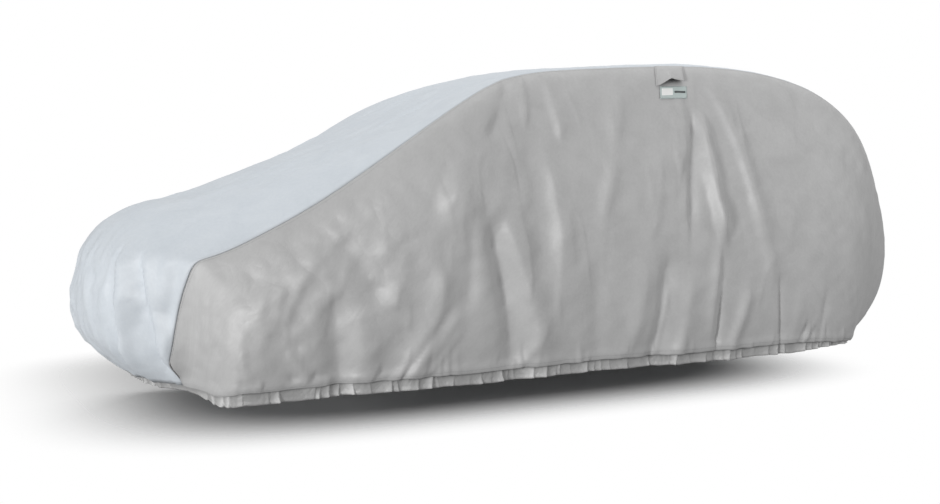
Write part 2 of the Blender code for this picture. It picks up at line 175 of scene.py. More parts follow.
# The line of the cover. Each row is a section from the front hem over the top to the rear hem, with the
# seam, the middle, the reach over which the panel stays flat beside the seam, and the hem below. X runs
# back, half widths out from the centre line, and Z up from the ground.
Section = namedtuple("Section", "seam_x seam_w seam_z mid_x mid_z reach foot_x foot_w foot_z")
SECTIONS = [
    # seam_x seam_w seam_z   mid_x  mid_z  reach  foot_x foot_w foot_z
    Section(-1.893, 0.520, 0.269, -2.035, 0.269, 0.30, -1.893, 0.520, 0.269),  # front hem
    Section(-1.950, 0.600, 0.420, -2.215, 0.420, 0.30, -1.865, 0.590, 0.263),
    Section(-1.946, 0.642, 0.580, -2.275, 0.600, 0.30, -1.830, 0.680, 0.257),
    Section(-1.903, 0.700, 0.780, -2.218, 0.850, 0.30, -1.795, 0.770, 0.253),
    Section(-1.872, 0.715, 0.836, -2.160, 0.955, 0.32, -1.766, 0.816, 0.260),  # corner of the nose
    Section(-1.820, 0.724, 0.857, -2.070, 1.022, 0.34, -1.742, 0.850, 0.266),
    Section(-1.620, 0.750, 0.940, -1.820, 1.102, 0.38, -1.560, 0.866, 0.272),  # top of the nose
    Section(-1.400, 0.750, 1.050, -1.530, 1.198, 0.38, -1.340, 0.865, 0.274),
    Section(-1.150, 0.750, 1.200, -1.200, 1.318, 0.30, -1.100, 0.865, 0.275),  # foot of the front slope
    Section(-0.820, 0.740, 1.415, -0.830, 1.462, 0.28, -0.800, 0.865, 0.273),
    Section(-0.500, 0.690, 1.605, -0.490, 1.628, 0.26, -0.490, 0.865, 0.271),
    Section(-0.250, 0.600, 1.700, -0.230, 1.732, 0.22, -0.250, 0.865, 0.276),  # front corner of the roof
    Section(0.250, 0.590, 1.765, 0.260, 1.797, 0.22, 0.250, 0.865, 0.279),
    Section(0.900, 0.590, 1.802, 0.900, 1.843, 0.22, 0.880, 0.865, 0.274),  # middle of the roof
    Section(1.500, 0.600, 1.762, 1.520, 1.810, 0.22, 1.400, 0.865, 0.277),
    Section(1.860, 0.620, 1.645, 1.940, 1.705, 0.24, 1.660, 0.860, 0.268),
    Section(2.095, 0.640, 1.450, 2.215, 1.490, 0.26, 1.830, 0.835, 0.255),  # back slope
    Section(2.235, 0.650, 1.150, 2.370, 1.160, 0.28, 1.940, 0.790, 0.245),
    Section(2.330, 0.650, 0.800, 2.475, 0.800, 0.30, 2.010, 0.730, 0.240),
    Section(2.305, 0.630, 0.500, 2.450, 0.500, 0.30, 2.070, 0.670, 0.237),
    Section(2.100, 0.600, 0.235, 2.190, 0.235, 0.30, 2.100, 0.600, 0.235),  # rear hem
]
HELD = np.array([0.900, 0, 1.843])  # the origin: the point under the roof at which the cover is held
FLIP = np.array([1, -1, 1])  # takes a point to the other side
BEZIER_MID = 4 / 3
CLOTH = 0.002
SEAM_GAP = 0.0012
SAME_POINT = 0.00002  # points nearer than this are one

# Folds are drawn on the face that they cross: where each starts and ends there, how far its middle bows
# aside, its width on either side of that line, and its height. A face names its two coordinates, its way
# out, and where along that way its folds start and are in full.
Face = namedtuple("Face", "first second outward fades_from full_at")
FACES = {
    "left": Face(0, 2, (0, -1, 0), 0.25, 0.50),
    "right": Face(0, 2, (0, 1, 0), 0.25, 0.50),
    "front": Face(1, 2, (-1, 0, 0), 1.30, 1.70),
    "rear": Face(1, 2, (1, 0, 0), 1.60, 1.90),
    "top": Face(0, 1, (0, 0, 1), 0.75, 0.90),
}
END_FADE = 0.25  # share of a fold over which each end fades
FOLD_CREST = 1.8  # 2 is a round crest, and a smaller number a sharper one
MAIN_SPREAD, MAIN_SHARE = 1.25, 0.90  # a main fold's width and height, as shares of those in its row
MAIN_UNEVEN = 0.25  # how far its height varies along it
CREASE_SPREAD, CREASE_SHARE = 1.3, 0.80  # a crease's width and height, as shares of those in its row
STRAY = 0.009  # how far a fold wanders from its line
Fold = namedtuple("Fold", "face start_a start_b end_a end_b bow before after height")


def folds_on(face, rows):
    """Folds on one face, a row of the other values for each."""
    return [Fold(face, *row) for row in rows]


MAIN_FOLDS = folds_on("left", [  # front to back, and last the curl of the hem at the back
    (-0.80, 1.16, -0.44, 0.98, 0.0, 0.110, 0.110, 0.030),
    (-0.23, 1.80, -0.54, 1.32, 0.0, 0.024, 0.040, -0.023),
    (-0.20, 1.80, -0.28, 1.42, 0.006, 0.018, 0.020, 0.018),
    (-0.09, 1.82, -0.05, 1.34, 0.009, 0.022, 0.050, 0.027),
    (-0.27, 1.46, -0.20, 0.60, -0.005, 0.060, 0.060, -0.014),
    (-0.17, 1.42, -0.15, 0.46, -0.046, 0.034, 0.070, 0.023),
    (-0.65, 1.10, -0.69, 0.54, -0.025, 0.050, 0.040, -0.013),
    (-0.58, 1.24, -0.34, 0.10, -0.014, 0.052, 0.075, -0.034),
    (-0.50, 1.18, -0.20, 0.08, -0.040, 0.050, 0.080, 0.034),
    (0.36, 1.76, 0.12, 0.90, 0.011, 0.034, 0.040, 0.022),
    (0.49, 1.38, 0.40, 0.82, -0.016, 0.040, 0.030, 0.011),
    (0.10, 0.86, 0.10, 0.16, 0.0, 0.050, 0.050, -0.017),
    (0.38, 0.84, 0.19, 0.20, -0.063, 0.048, 0.040, 0.014),
    (0.55, 0.86, 0.39, 0.12, -0.028, 0.040, 0.046, -0.027),
    (0.70, 0.74, 0.55, 0.10, -0.015, 0.034, 0.066, 0.030),
    (0.70, 1.74, 0.58, 1.16, -0.045, 0.040, 0.026, 0.017),
    (0.91, 1.76, 0.68, 0.80, 0.075, 0.026, 0.034, -0.028),
    (0.84, 1.74, 0.91, 0.76, 0.056, 0.028, 0.036, 0.038),
    (0.86, 0.92, 0.81, 0.28, 0.010, 0.028, 0.018, 0.014),
    (0.88, 1.90, 1.24, 0.52, -0.012, 0.030, 0.055, 0.036),
    (1.27, 1.80, 1.43, 1.32, 0.002, 0.030, 0.040, 0.009),
    (0.88, 0.62, 0.87, 0.02, 0.004, 0.010, 0.024, -0.014),
    (1.06, 0.66, 0.91, 0.16, -0.017, 0.028, 0.034, 0.026),
    (1.25, 0.72, 1.36, 0.10, 0.003, 0.010, 0.024, -0.013),
    (1.44, 0.66, 1.38, 0.18, 0.0, 0.034, 0.050, 0.014),
    (1.63, 0.62, 1.58, 0.20, -0.013, 0.020, 0.022, -0.012),
    (-0.83, 0.92, -1.04, 0.16, -0.110, 0.046, 0.034, 0.030),
    (-0.73, 0.62, -1.03, 0.18, 0.005, 0.018, 0.018, -0.012),
    (-0.68, 0.62, -0.94, 0.18, 0.0, 0.024, 0.030, 0.015),
    (-1.31, 0.74, -1.23, 0.10, 0.001, 0.056, 0.056, -0.027),
    (-1.18, 0.72, -1.17, 0.16, -0.002, 0.048, 0.060, 0.014),
    (-1.26, 0.98, -1.06, 0.60, 0.0, 0.070, 0.080, -0.014),
    (-1.75, 0.72, -1.77, 0.22, 0.006, 0.018, 0.026, 0.012),
    (1.55, 0.19, 2.60, 0.19, 0.0, 0.070, 0.070, -0.026),
])
MAIN_FOLDS += folds_on("rear", [  # the curl of the hem
    (-0.90, 0.19, 0.90, 0.19, 0.0, 0.070, 0.070, -0.030),
])
MAIN_FOLDS += folds_on("right", [  # the same
    (1.55, 0.19, 2.60, 0.19, 0.0, 0.070, 0.070, -0.026),
])
MAIN_FOLDS += folds_on("front", [  # nose
    (-0.43, 0.98, -0.33, 0.18, 0.073, 0.026, 0.022, 0.046),
    (-0.49, 0.92, -0.49, 0.26, 0.052, 0.026, 0.026, -0.044),
    (-0.54, 0.92, -0.55, 0.26, 0.030, 0.022, 0.032, 0.036),
    (-0.60, 0.90, -0.58, 0.58, 0.0, 0.018, 0.018, -0.011),
    (-0.30, 0.90, -0.36, 0.34, 0.048, 0.030, 0.030, -0.016),
    (0.06, 0.98, -0.26, 0.62, 0.0, 0.045, 0.045, 0.012),
    (0.34, 0.92, 0.24, 0.22, -0.070, 0.050, 0.050, 0.014),
    (-0.74, 0.82, 0.74, 0.84, 0.0, 0.045, 0.045, 0.012),
])
MAIN_FOLDS += folds_on("top", [  # top of the nose
    (-1.85, -0.50, -1.10, -0.54, 0.0, 0.050, 0.050, 0.006),
    (-2.00, -0.18, -1.15, -0.30, 0.030, 0.045, 0.045, 0.007),
    (-1.95, 0.22, -1.25, 0.12, 0.030, 0.050, 0.050, 0.006),
])
MAIN_FOLDS += folds_on("right", [  # front to back
    (-0.80, 1.16, -0.44, 0.98, 0.0, 0.110, 0.110, 0.030),
    (-0.58, 1.16, -0.44, 0.20, 0.0, 0.060, 0.040, -0.022),
    (-0.50, 1.20, -0.22, 0.18, -0.030, 0.065, 0.065, 0.024),
    (-0.12, 1.80, 0.02, 1.10, 0.0, 0.040, 0.030, 0.018),
    (0.34, 1.50, 0.24, 0.20, 0.0, 0.055, 0.040, -0.018),
    (0.52, 0.96, 0.44, 0.18, 0.0, 0.050, 0.040, 0.018),
    (0.72, 1.60, 0.66, 0.20, 0.0, 0.040, 0.030, -0.020),
    (0.90, 1.86, 1.08, 0.50, 0.020, 0.050, 0.036, 0.026),
    (1.12, 1.70, 1.26, 0.40, 0.0, 0.034, 0.050, -0.020),
    (1.34, 0.90, 1.42, 0.18, 0.0, 0.055, 0.040, 0.018),
    (-0.84, 0.90, -1.04, 0.22, -0.060, 0.060, 0.040, 0.020),
    (-1.34, 0.72, -1.28, 0.22, 0.0, 0.050, 0.036, -0.018),
])
MAIN_FOLDS += folds_on("rear", [  # back
    (-0.20, 1.00, -0.34, 0.20, 0.040, 0.060, 0.060, 0.014),
    (0.18, 0.90, 0.26, 0.20, 0.0, 0.060, 0.060, -0.012),
])


def smooth_step(share):
    share = np.clip(share, 0, 1)
    return share * share * (3 - 2 * share)


def spline(knots, rows, places):
    """Natural cubic curve through one row of values for each knot, read at the places."""
    steps = np.diff(knots)
    slopes = np.diff(rows, axis=0) / steps[:, None]
    matrix = np.eye(len(knots))
    right = np.zeros_like(rows)
    for i in range(1, len(knots) - 1):
        matrix[i, i - 1:i + 2] = steps[i - 1], 2 * (steps[i - 1] + steps[i]), steps[i]
        right[i] = 6 * (slopes[i] - slopes[i - 1])
    bends = np.linalg.solve(matrix, right)
    i = np.clip(np.searchsorted(knots, places) - 1, 0, len(knots) - 2)
    step = steps[i][:, None]
    before = (knots[i + 1] - places)[:, None] / step
    after = 1 - before
    curve = (before**3 - before) * bends[i] + (after**3 - after) * bends[i + 1]
    return before * rows[i] + after * rows[i + 1] + curve * step**2 / 6


def unit(vectors):
    return vectors / np.maximum(np.linalg.norm(vectors, axis=-1, keepdims=True), 1e-9)


def reached_along(points, axis=0):
    """Distance from the first point to each one, along an axis of the array."""
    steps = np.linalg.norm(np.diff(points, axis=axis), axis=-1)
    start = np.zeros_like(np.take(points[..., 0], [0], axis=axis))
    return np.concatenate([start, np.cumsum(steps, axis=axis)], axis=axis)


SECTION_TABLE = np.array(SECTIONS)
SEAM_KNOTS = reached_along(SECTION_TABLE[:, :3])


def outline_at(places):
    """Seam, seam handle and foot of the left half at distances along the seam."""
    values = spline(SEAM_KNOTS, SECTION_TABLE, places).T
    seam_x, seam_w, seam_z, mid_x, mid_z, reach, foot_x, foot_w, foot_z = values
    seam = np.stack([seam_x, -seam_w, seam_z], axis=1)
    handle = np.stack([(seam_x - mid_x) * BEZIER_MID, -reach, (seam_z - mid_z) * BEZIER_MID], axis=1)
    foot = np.stack([foot_x, -foot_w, foot_z], axis=1)
    return seam, handle, foot


def bezier(first, second, third, fourth, shares):
    """Cubic curves, one column each, read at the shares of their run."""
    t = shares[None, :, None]
    first, second, third, fourth = (point[:, None, :] for point in (first, second, third, fourth))
    return (1 - t)**3 * first + 3 * (1 - t)**2 * t * second + 3 * (1 - t) * t**2 * third + t**3 * fourth


def fold_height(points, fold, spread):
    """Height of one fold over the points, along its face's way out, drawn wider by the spread."""
    face = FACES[fold.face]
    a = points[..., face.first] - fold.start_a
    b = points[..., face.second] - fold.start_b
    run_a = fold.end_a - fold.start_a
    run_b = fold.end_b - fold.start_b
    length = math.hypot(run_a, run_b)
    along = (a * run_a + b * run_b) / length**2
    across = (a * run_b - b * run_a) / length - fold.bow * 4 * along * (1 - along)
    ends = smooth_step(along / END_FADE) * smooth_step((1 - along) / END_FADE)
    outward = points @ np.array(face.outward)
    facing = smooth_step((outward - face.fades_from) / (face.full_at - face.fades_from))
    width = spread * np.where(across > 0, fold.before, fold.after)
    return fold.height * np.exp(-(np.abs(across / width)**FOLD_CREST)) * ends * facing


WAVE_COUNT = 14


def waves(seed, points, short, long):
    """A smooth random field of about -1 to 1 over the points, with waves from short to long."""
    dice = np.random.default_rng(seed)
    field = np.zeros(points.shape[:-1])
    for _ in range(WAVE_COUNT):
        way = unit(dice.normal(size=3))
        turns = 2 * math.pi / dice.uniform(short, long)
        field += np.sin(points @ way * turns + dice.uniform(0, 2 * math.pi))
    return field / (1.3 * math.sqrt(WAVE_COUNT / 2))


def strayed(points):
    """The points shifted a little aside, so that the folds drawn over them wander as real ones do."""
    return points + STRAY * np.stack([waves(seed, points, 0.40, 1.20) for seed in (2, 3, 4)], axis=-1)


def folded(points, folds):
    """The points moved out or in wherever a fold crosses them."""
    moved = points.copy()
    places = strayed(points)
    uneven = MAIN_SHARE * (1 + MAIN_UNEVEN * waves(5, points, 0.25, 0.80))
    for fold in folds:
        height = fold_height(places, fold, MAIN_SPREAD) * uneven
        moved += height[..., None] * np.array(FACES[fold.face].outward)
    return moved


INSIDE = np.array([0.0, 0.0, 0.8])  # a point within the cover, from which every surface faces away


def surface_normals(grid):
    """Unit normals of a grid of points, turned out of the cover."""
    along = np.gradient(grid, axis=0)
    down = np.gradient(grid, axis=1)
    normals = unit(np.cross(along, down))
    away = np.sum(normals * (grid - INSIDE), axis=-1)
    if np.median(away) < 0:
        normals = -normals
    return normals


def creased(points, normals, creases, share):
    """Raise small creases along the surface's own normals, by a share of their height at each point."""
    height = np.zeros(points.shape[:-1])
    places = strayed(points)
    for crease in creases:
        face = FACES[crease.face]
        half = math.hypot(crease.end_a - crease.start_a, crease.end_b - crease.start_b) / 2
        reach = half + 4 * max(crease.before, crease.after) + abs(crease.bow)
        near_a = np.abs(places[..., face.first] - (crease.start_a + crease.end_a) / 2) < reach
        near_b = np.abs(places[..., face.second] - (crease.start_b + crease.end_b) / 2) < reach
        near = near_a & near_b
        if near.any():
            height[near] += fold_height(places[near], crease, CREASE_SPREAD)
    return points + (height * share * CREASE_SHARE)[..., None] * normals


def scattered_creases(seed, face, count, low, high, slope, length, width, height):
    """Random small creases between two corners of a face. Slope is the range of their angle from the face's
    second axis in degrees, and each size is a range too. A ridge is steeper behind and a trough before."""
    dice = np.random.default_rng(seed)
    creases = []
    for _ in range(count):
        a, b = dice.uniform(low[0], high[0]), dice.uniform(low[1], high[1])
        angle = math.radians(dice.uniform(*slope))
        half = dice.uniform(*length) / 2
        side, up = half * math.sin(angle), half * math.cos(angle)
        wide = dice.uniform(*width)
        steep = wide * dice.uniform(0.35, 0.8)
        tall = dice.uniform(*height)
        bow = dice.uniform(-0.25, 0.25) * half
        if dice.random() < 0.6:
            creases.append(Fold(face, a + side, b + up, a - side, b - up, bow, wide, steep, tall))
        else:
            creases.append(Fold(face, a + side, b + up, a - side, b - up, bow, steep, wide, -tall))
    return creases


def add_piece(name, grid, uv, material, thickness, **attributes):
    """A thickened sheet over a grid of points. Its flat cut in metres is the UV map, and its material reads
    the attributes at each point."""
    columns, rows = grid.shape[:2]
    index = np.arange(columns * rows).reshape(columns, rows)
    quads = np.stack([index[:-1, :-1], index[:-1, 1:], index[1:, 1:], index[1:, :-1]], axis=-1)
    quads = quads.reshape(-1, 4)
    points = (grid - HELD).reshape(-1, 3)
    corners = points[quads]
    facing = np.cross(corners[:, 2] - corners[:, 0], corners[:, 3] - corners[:, 1])
    away = corners.mean(axis=1) - (INSIDE - HELD)
    if np.median(np.sum(facing * away, axis=1)) < 0:
        quads = quads[:, ::-1]
    mesh = bpy.data.meshes.new(name)
    mesh.vertices.add(len(points))
    mesh.vertices.foreach_set("co", points.astype(np.float32).ravel())
    mesh.loops.add(quads.size)
    mesh.loops.foreach_set("vertex_index", quads.astype(np.int32).ravel())
    mesh.polygons.add(len(quads))
    mesh.polygons.foreach_set("loop_start", np.arange(0, quads.size, 4, dtype=np.int32))
    mesh.update(calc_edges=True)
    cut = mesh.uv_layers.new(name="flat_cut")
    cut.data.foreach_set("uv", uv.reshape(-1, 2)[quads.ravel()].astype(np.float32).ravel())
    for label, values in attributes.items():
        layer = mesh.attributes.new(label, "FLOAT", "POINT")
        layer.data.foreach_set("value", values.astype(np.float32).ravel())
    merged = bmesh.new()
    merged.from_mesh(mesh)
    bmesh.ops.remove_doubles(merged, verts=merged.verts, dist=SAME_POINT)
    merged.to_mesh(mesh)
    merged.free()
    mesh.shade_smooth()
    mesh.materials.append(material)
    piece = put_in_scene(name, mesh)
    thicken = piece.modifiers.new("cloth", "SOLIDIFY")
    thicken.thickness = thickness
    thicken.offset = 1
    return piece


def flat_cut(grid, middle):
    """Where each point lay in the flat cloth: across from the middle column, and down from the seam."""
    across = reached_along(grid, 0)
    return np.stack([across - across[middle], reached_along(grid, 1)], axis=-1)


def even_shares(curve_at, steps):
    """Shares of a curve's run at which its length has reached each of the steps, as shares of the whole."""
    fine = np.linspace(0, 1, 2000)
    reached = reached_along(curve_at(fine))
    return np.interp(np.asarray(steps) * reached[-1], reached, fine)


HEM_SAY = 0.65  # how much the hem's run, over the seam's, spaces the columns


def panel_columns(count):
    """Distances along the seam, spaced by the run of the seam and of the hem together."""
    fine = np.linspace(0, SEAM_KNOTS[-1], 4000)
    seam, _, foot = outline_at(fine)
    seam_run = np.linalg.norm(np.diff(seam, axis=0), axis=1)
    foot_run = np.linalg.norm(np.diff(foot, axis=0), axis=1)
    reached = np.concatenate([[0], np.cumsum((1 - HEM_SAY) * seam_run + HEM_SAY * foot_run)])
    return np.interp(np.linspace(0, reached[-1], count + 1), reached, fine)


def noise_node(tree, place, scale, detail, roughness=0.5, distortion=0.0):
    return wire_named(tree, tree.nodes.new("ShaderNodeTexNoise"), Vector=place, Scale=scale, Detail=detail,
                      Roughness=roughness, Distortion=distortion)


def new_group(name, inputs, outputs):
    """An empty shader group with its named inputs, each with its usual value, and its outputs."""
    group = bpy.data.node_groups.new(name, "ShaderNodeTree")
    for label, kind, value in inputs:
        socket = group.interface.new_socket(label, in_out="INPUT", socket_type=kind)
        if value is not None:
            socket.default_value = value
    for label in outputs:
        group.interface.new_socket(label, in_out="OUTPUT", socket_type="NodeSocketFloat")
    return group, group.nodes.new("NodeGroupInput").outputs, group.nodes.new("NodeGroupOutput").inputs


# Spunbond: fibres laid at random and pressed together at rows of small points. Height is the pressed pattern
# with the fibres on it, and Cloud is where the fibres lie thicker or thinner.
spunbond, given, gives = new_group(
    "spunbond",
    [("Cut", "NodeSocketVector", None),
     ("Pitch", "NodeSocketFloat", 0.0024),
     ("Fibres", "NodeSocketFloat", 0.30)],
    ["Height", "Cloud"])
turns = math_node(spunbond, "DIVIDE", 2 * math.pi, given["Pitch"])
scaled = add_node(spunbond, "ShaderNodeVectorMath", given["Cut"], operation="SCALE")
scaled = wire_named(spunbond, scaled, Scale=turns)["Vector"]
split = add_node(spunbond, "ShaderNodeSeparateXYZ", scaled).outputs
rising = math_node(spunbond, "SINE", math_node(spunbond, "ADD", split["X"], split["Y"]))
falling = math_node(spunbond, "SINE", math_node(spunbond, "SUBTRACT", split["X"], split["Y"]))
dots = math_node(spunbond, "MULTIPLY", rising, falling)
pressed = add_node(spunbond, "ShaderNodeMapRange", dots, 0.25, 0.75, 0.0, -1.0,
                   interpolation_type="SMOOTHSTEP").outputs[0]
fibre = noise_node(spunbond, given["Cut"], 700, 2, 0.6)["Fac"]
fibre = math_node(spunbond, "MULTIPLY", fibre, given["Fibres"])
wire(spunbond, math_node(spunbond, "ADD", pressed, fibre), gives["Height"])
thick = math_node(spunbond, "MULTIPLY", noise_node(spunbond, given["Cut"], 60, 3, 0.6, 0.4)["Fac"], 0.4)
wide = math_node(spunbond, "MULTIPLY", noise_node(spunbond, given["Cut"], 6, 3, 0.55, 0.6)["Fac"], 0.6)
wire(spunbond, math_node(spunbond, "ADD", thick, wide), gives["Cloud"])

# Crumple: the small soft dents of limp cloth, ridged and never in rows. Amount fades it over the panel.
crumple, given, gives = new_group(
    "crumple",
    [("Place", "NodeSocketVector", None),
     ("Scale", "NodeSocketFloat", 8.0),
     ("Amount", "NodeSocketFloat", 1.0)],
    ["Height"])
warp = noise_node(crumple, given["Place"], 4.0, 1.0)["Color"]
shifted = add_node(crumple, "ShaderNodeVectorMath", warp, (0.12, 0.12, 0.12), given["Place"],
                   operation="MULTIPLY_ADD").outputs["Vector"]
layers = []
for factor, share in ((1.0, 0.75), (2.4, 0.25)):
    scale = math_node(crumple, "MULTIPLY", given["Scale"], factor)
    layer = math_node(crumple, "SUBTRACT", noise_node(crumple, shifted, scale, 0.0)["Fac"], 0.5)
    layers.append(math_node(crumple, "MULTIPLY", math_node(crumple, "ABSOLUTE", layer), share * 2))
total = math_node(crumple, "ADD", *layers)
wire(crumple, math_node(crumple, "MULTIPLY", total, given["Amount"]), gives["Height"])


def use_group(tree, group, **values):
    """The outputs of a group placed in a material, with its named inputs linked or set."""
    return wire_named(tree, add_node(tree, "ShaderNodeGroup", node_tree=group), **values)


def attribute_node(tree, name):
    return add_node(tree, "ShaderNodeAttribute", attribute_name=name).outputs["Fac"]


def mix_colours(tree, share, first, second):
    """The first colour with a share of the second one in it. Each is three numbers or a socket."""
    mix = add_node(tree, "ShaderNodeMix", share, data_type="RGBA")
    for socket, colour in ((mix.inputs[6], first), (mix.inputs[7], second)):
        wire(tree, colour if isinstance(colour, bpy.types.NodeSocket) else (*colour, 1), socket)
    return mix.outputs[2]


def bump_node(tree, **sources):
    return wire_named(tree, tree.nodes.new("ShaderNodeBump"), **sources)["Normal"]


PRESSED_DEPTH, PRESSED_SHARE = 0.00016, 0.4  # of the pressed points in the cloth
DULL_SPREAD = 0.06  # how far the roughness clouds either way


def cloth_material(name, pale, deep, dark, roughness, sheen, crumple_scale, crumple_depth):
    """Matte coated spunbond: two tones that cloud into each other, a dark one painted in as shade wherever a
    piece asks for it, pressed points, and soft crumples."""
    material, tree, shader = new_material(name)
    place = tree.nodes.new("ShaderNodeTexCoord").outputs
    cloth = use_group(tree, spunbond, Cut=place["UV"])
    dents = use_group(tree, crumple, Place=place["Object"], Scale=crumple_scale,
                      Amount=attribute_node(tree, "crumpled"))
    cloud = add_node(tree, "ShaderNodeMapRange", cloth["Cloud"], 0.36, 0.64, 0.0, 1.0).outputs[0]
    tone = mix_colours(tree, attribute_node(tree, "darkened"), mix_colours(tree, cloud, deep, pale), dark)
    dull = add_node(tree, "ShaderNodeMapRange", cloth["Cloud"], 0.3, 0.7, roughness + DULL_SPREAD,
                    roughness - DULL_SPREAD).outputs[0]
    coarse = bump_node(tree, Height=dents["Height"], Distance=crumple_depth)
    fine = bump_node(tree, Height=cloth["Height"], Distance=PRESSED_DEPTH, Strength=PRESSED_SHARE,
                     Normal=coarse)
    wire_named(tree, shader, Base_Color=tone, Roughness=dull, Normal=fine, Sheen_Weight=sheen,
               Sheen_Roughness=0.5, Specular_IOR_Level=0.42)
    return material


def grooved(from_edge):
    """How far a sewn edge rolls down into its seam, by distance from the edge."""
    return GROOVE_DEPTH * np.clip(1 - from_edge / GROOVE_REACH, 0, 1)**1.5


GROOVE_REACH, GROOVE_DEPTH = 0.0070, 0.0055
# Painted shade: the cloth is made darker in each seam's groove and near this panel's ends above the band.
SEAM_DARK, SEAM_DARK_REACH = 0.75, 0.0040  # how much darker a seam is, and how far that spreads from it
CENTRE_HEM_DARK, CENTRE_HEM_DARK_REACH = 0.12, 0.02  # the same two at the ends of this panel
CALM_TO, CALM_OVER = 0.006, 0.03  # how far from a seam creases start, and over what run they grow full
CRUMPLED, MORE_CRUMPLED, CRUMPLED_FROM_X = 0.30, 0.50, -1.6  # all over, and added forward of this place
CRUMPLED_OVER = 0.5  # the run over which it is added
CENTRE_COLUMNS, CENTRE_ROWS = 310, 148
CENTRE_MIDDLE, SIDE_MIDDLE = 11, 12  # the sections at which each panel's rows are spaced
DENTS = 0.0013  # height of the broad soft dents all over
DENTS_SHORT, DENTS_LONG = 0.07, 0.22

light_cloth = cloth_material("light_cloth", (0.610, 0.650, 0.690), (0.560, 0.602, 0.645), (0.22, 0.23, 0.24),
                             0.50, 0.05, 7.0, 0.0055)

columns = panel_columns(CENTRE_COLUMNS)
seam, handle, foot = outline_at(columns)
near_edge = np.array([0.0, 0.0018, 0.0038, 0.0062, 0.0095])
steps = np.concatenate([near_edge, np.linspace(0.016, 0.984, CENTRE_ROWS - 9), 1 - near_edge[::-1]])
middle = int(np.searchsorted(columns, SEAM_KNOTS[CENTRE_MIDDLE]))
ribs = seam, seam - handle, (seam - handle) * FLIP, seam * FLIP
shares = even_shares(lambda t: bezier(*(point[middle:middle + 1] for point in ribs), t)[0], steps)
centre = folded(bezier(*ribs, shares), MAIN_FOLDS)
centre[:, 0] -= unit(handle) * SEAM_GAP / 2
centre[:, -1] -= unit(handle) * FLIP * SEAM_GAP / 2
front_hem, rear_hem = centre[0].copy(), centre[-1].copy()
normals = surface_normals(centre)
uv = flat_cut(centre, middle)
from_edge = np.minimum(uv[..., 1], uv[:, -1:, 1] - uv[..., 1])

# Finer creases: upright ones where the elastic draws in the nose, faint lengthwise ones over the top, and
# upright ones at the back. A scatter row is what scattered_creases asks for.
centre_creases = folds_on("front", [
    (-0.02, 0.94, -0.10, 0.64, 0.0, 0.020, 0.016, 0.010),
    (-0.20, 0.92, -0.25, 0.74, 0.0, 0.012, 0.020, 0.008),
    (-0.31, 0.92, -0.35, 0.60, 0.010, 0.010, 0.016, 0.009),
    (-0.40, 0.78, -0.46, 0.38, 0.030, 0.016, 0.012, -0.009),
    (-0.45, 0.90, -0.56, 0.60, 0.010, 0.018, 0.040, 0.010),
    (-0.62, 0.88, -0.63, 0.66, 0.0, 0.014, 0.016, 0.007),
    (-0.60, 0.62, -0.57, 0.30, 0.020, 0.012, 0.024, 0.010),
    (-0.30, 0.62, -0.24, 0.24, 0.040, 0.012, 0.022, 0.010),
    (-0.36, 0.90, -0.68, 0.84, 0.0, 0.030, 0.030, 0.008),
    (-0.12, 0.88, -0.22, 0.38, 0.040, 0.014, 0.026, 0.010),
    (0.16, 0.92, 0.05, 0.38, 0.020, 0.014, 0.024, 0.010),
    (0.48, 0.84, 0.42, 0.28, 0.0, 0.022, 0.014, -0.009),
])
CENTRE_SCATTERS = [
    (21, "front", 60, (-0.70, 0.34), (0.70, 0.92), (-20, 16), (0.10, 0.34), (0.012, 0.030), (0.004, 0.011)),
    (22, "front", 40, (-0.62, 0.25), (0.62, 0.36), (-12, 12), (0.06, 0.16), (0.01, 0.018), (0.0025, 0.006)),
    (23, "top", 34, (-2.05, -0.62), (-1.15, 0.62), (66, 104), (0.2, 0.50), (0.018, 0.04), (0.0024, 0.0058)),
    (24, "top", 30, (-1.15, -0.62), (-0.35, 0.62), (64, 110), (0.2, 0.55), (0.022, 0.048), (0.0022, 0.0052)),
    (25, "top", 34, (-0.20, -0.55), (2.00, 0.55), (60, 120), (0.2, 0.60), (0.02, 0.044), (0.0012, 0.0034)),
    (26, "rear", 54, (-0.62, 0.26), (0.62, 1.40), (-16, 16), (0.16, 0.50), (0.016, 0.034), (0.002, 0.006)),
]
for scatter in CENTRE_SCATTERS:
    centre_creases += scattered_creases(*scatter)
settled = smooth_step((from_edge - CALM_TO) / CALM_OVER)
centre = creased(centre, normals, centre_creases, settled)
centre += (DENTS * waves(27, centre, DENTS_SHORT, DENTS_LONG) * settled)[..., None] * normals
centre -= grooved(from_edge)[..., None] * normals
from_hem = np.minimum(uv[..., 0] - uv[:1, :, 0], uv[-1:, :, 0] - uv[..., 0])
crumpled = CRUMPLED + MORE_CRUMPLED * smooth_step((CRUMPLED_FROM_X - centre[..., 0]) / CRUMPLED_OVER)
# Painted shade in the seam grooves and near the ends above the band.
darkened = SEAM_DARK * np.exp(-from_edge / SEAM_DARK_REACH)
darkened += CENTRE_HEM_DARK * np.exp(-from_hem / CENTRE_HEM_DARK_REACH)
centre_cloth = add_piece("centre_cloth", centre, uv, light_cloth, CLOTH,
                         crumpled=crumpled, darkened=darkened)
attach(centre_cloth, "root")
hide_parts("centre_panel")


# Side panels: mid-grey spunbond cloth, one for each side, sewn to the centre panel along one long seam that
# runs from the front hem up the front slope and along the roof to the rear hem. The cloth hangs in long soft
# folds from the roof corners, crumples towards the front, and is drawn into small gathers above the hem.

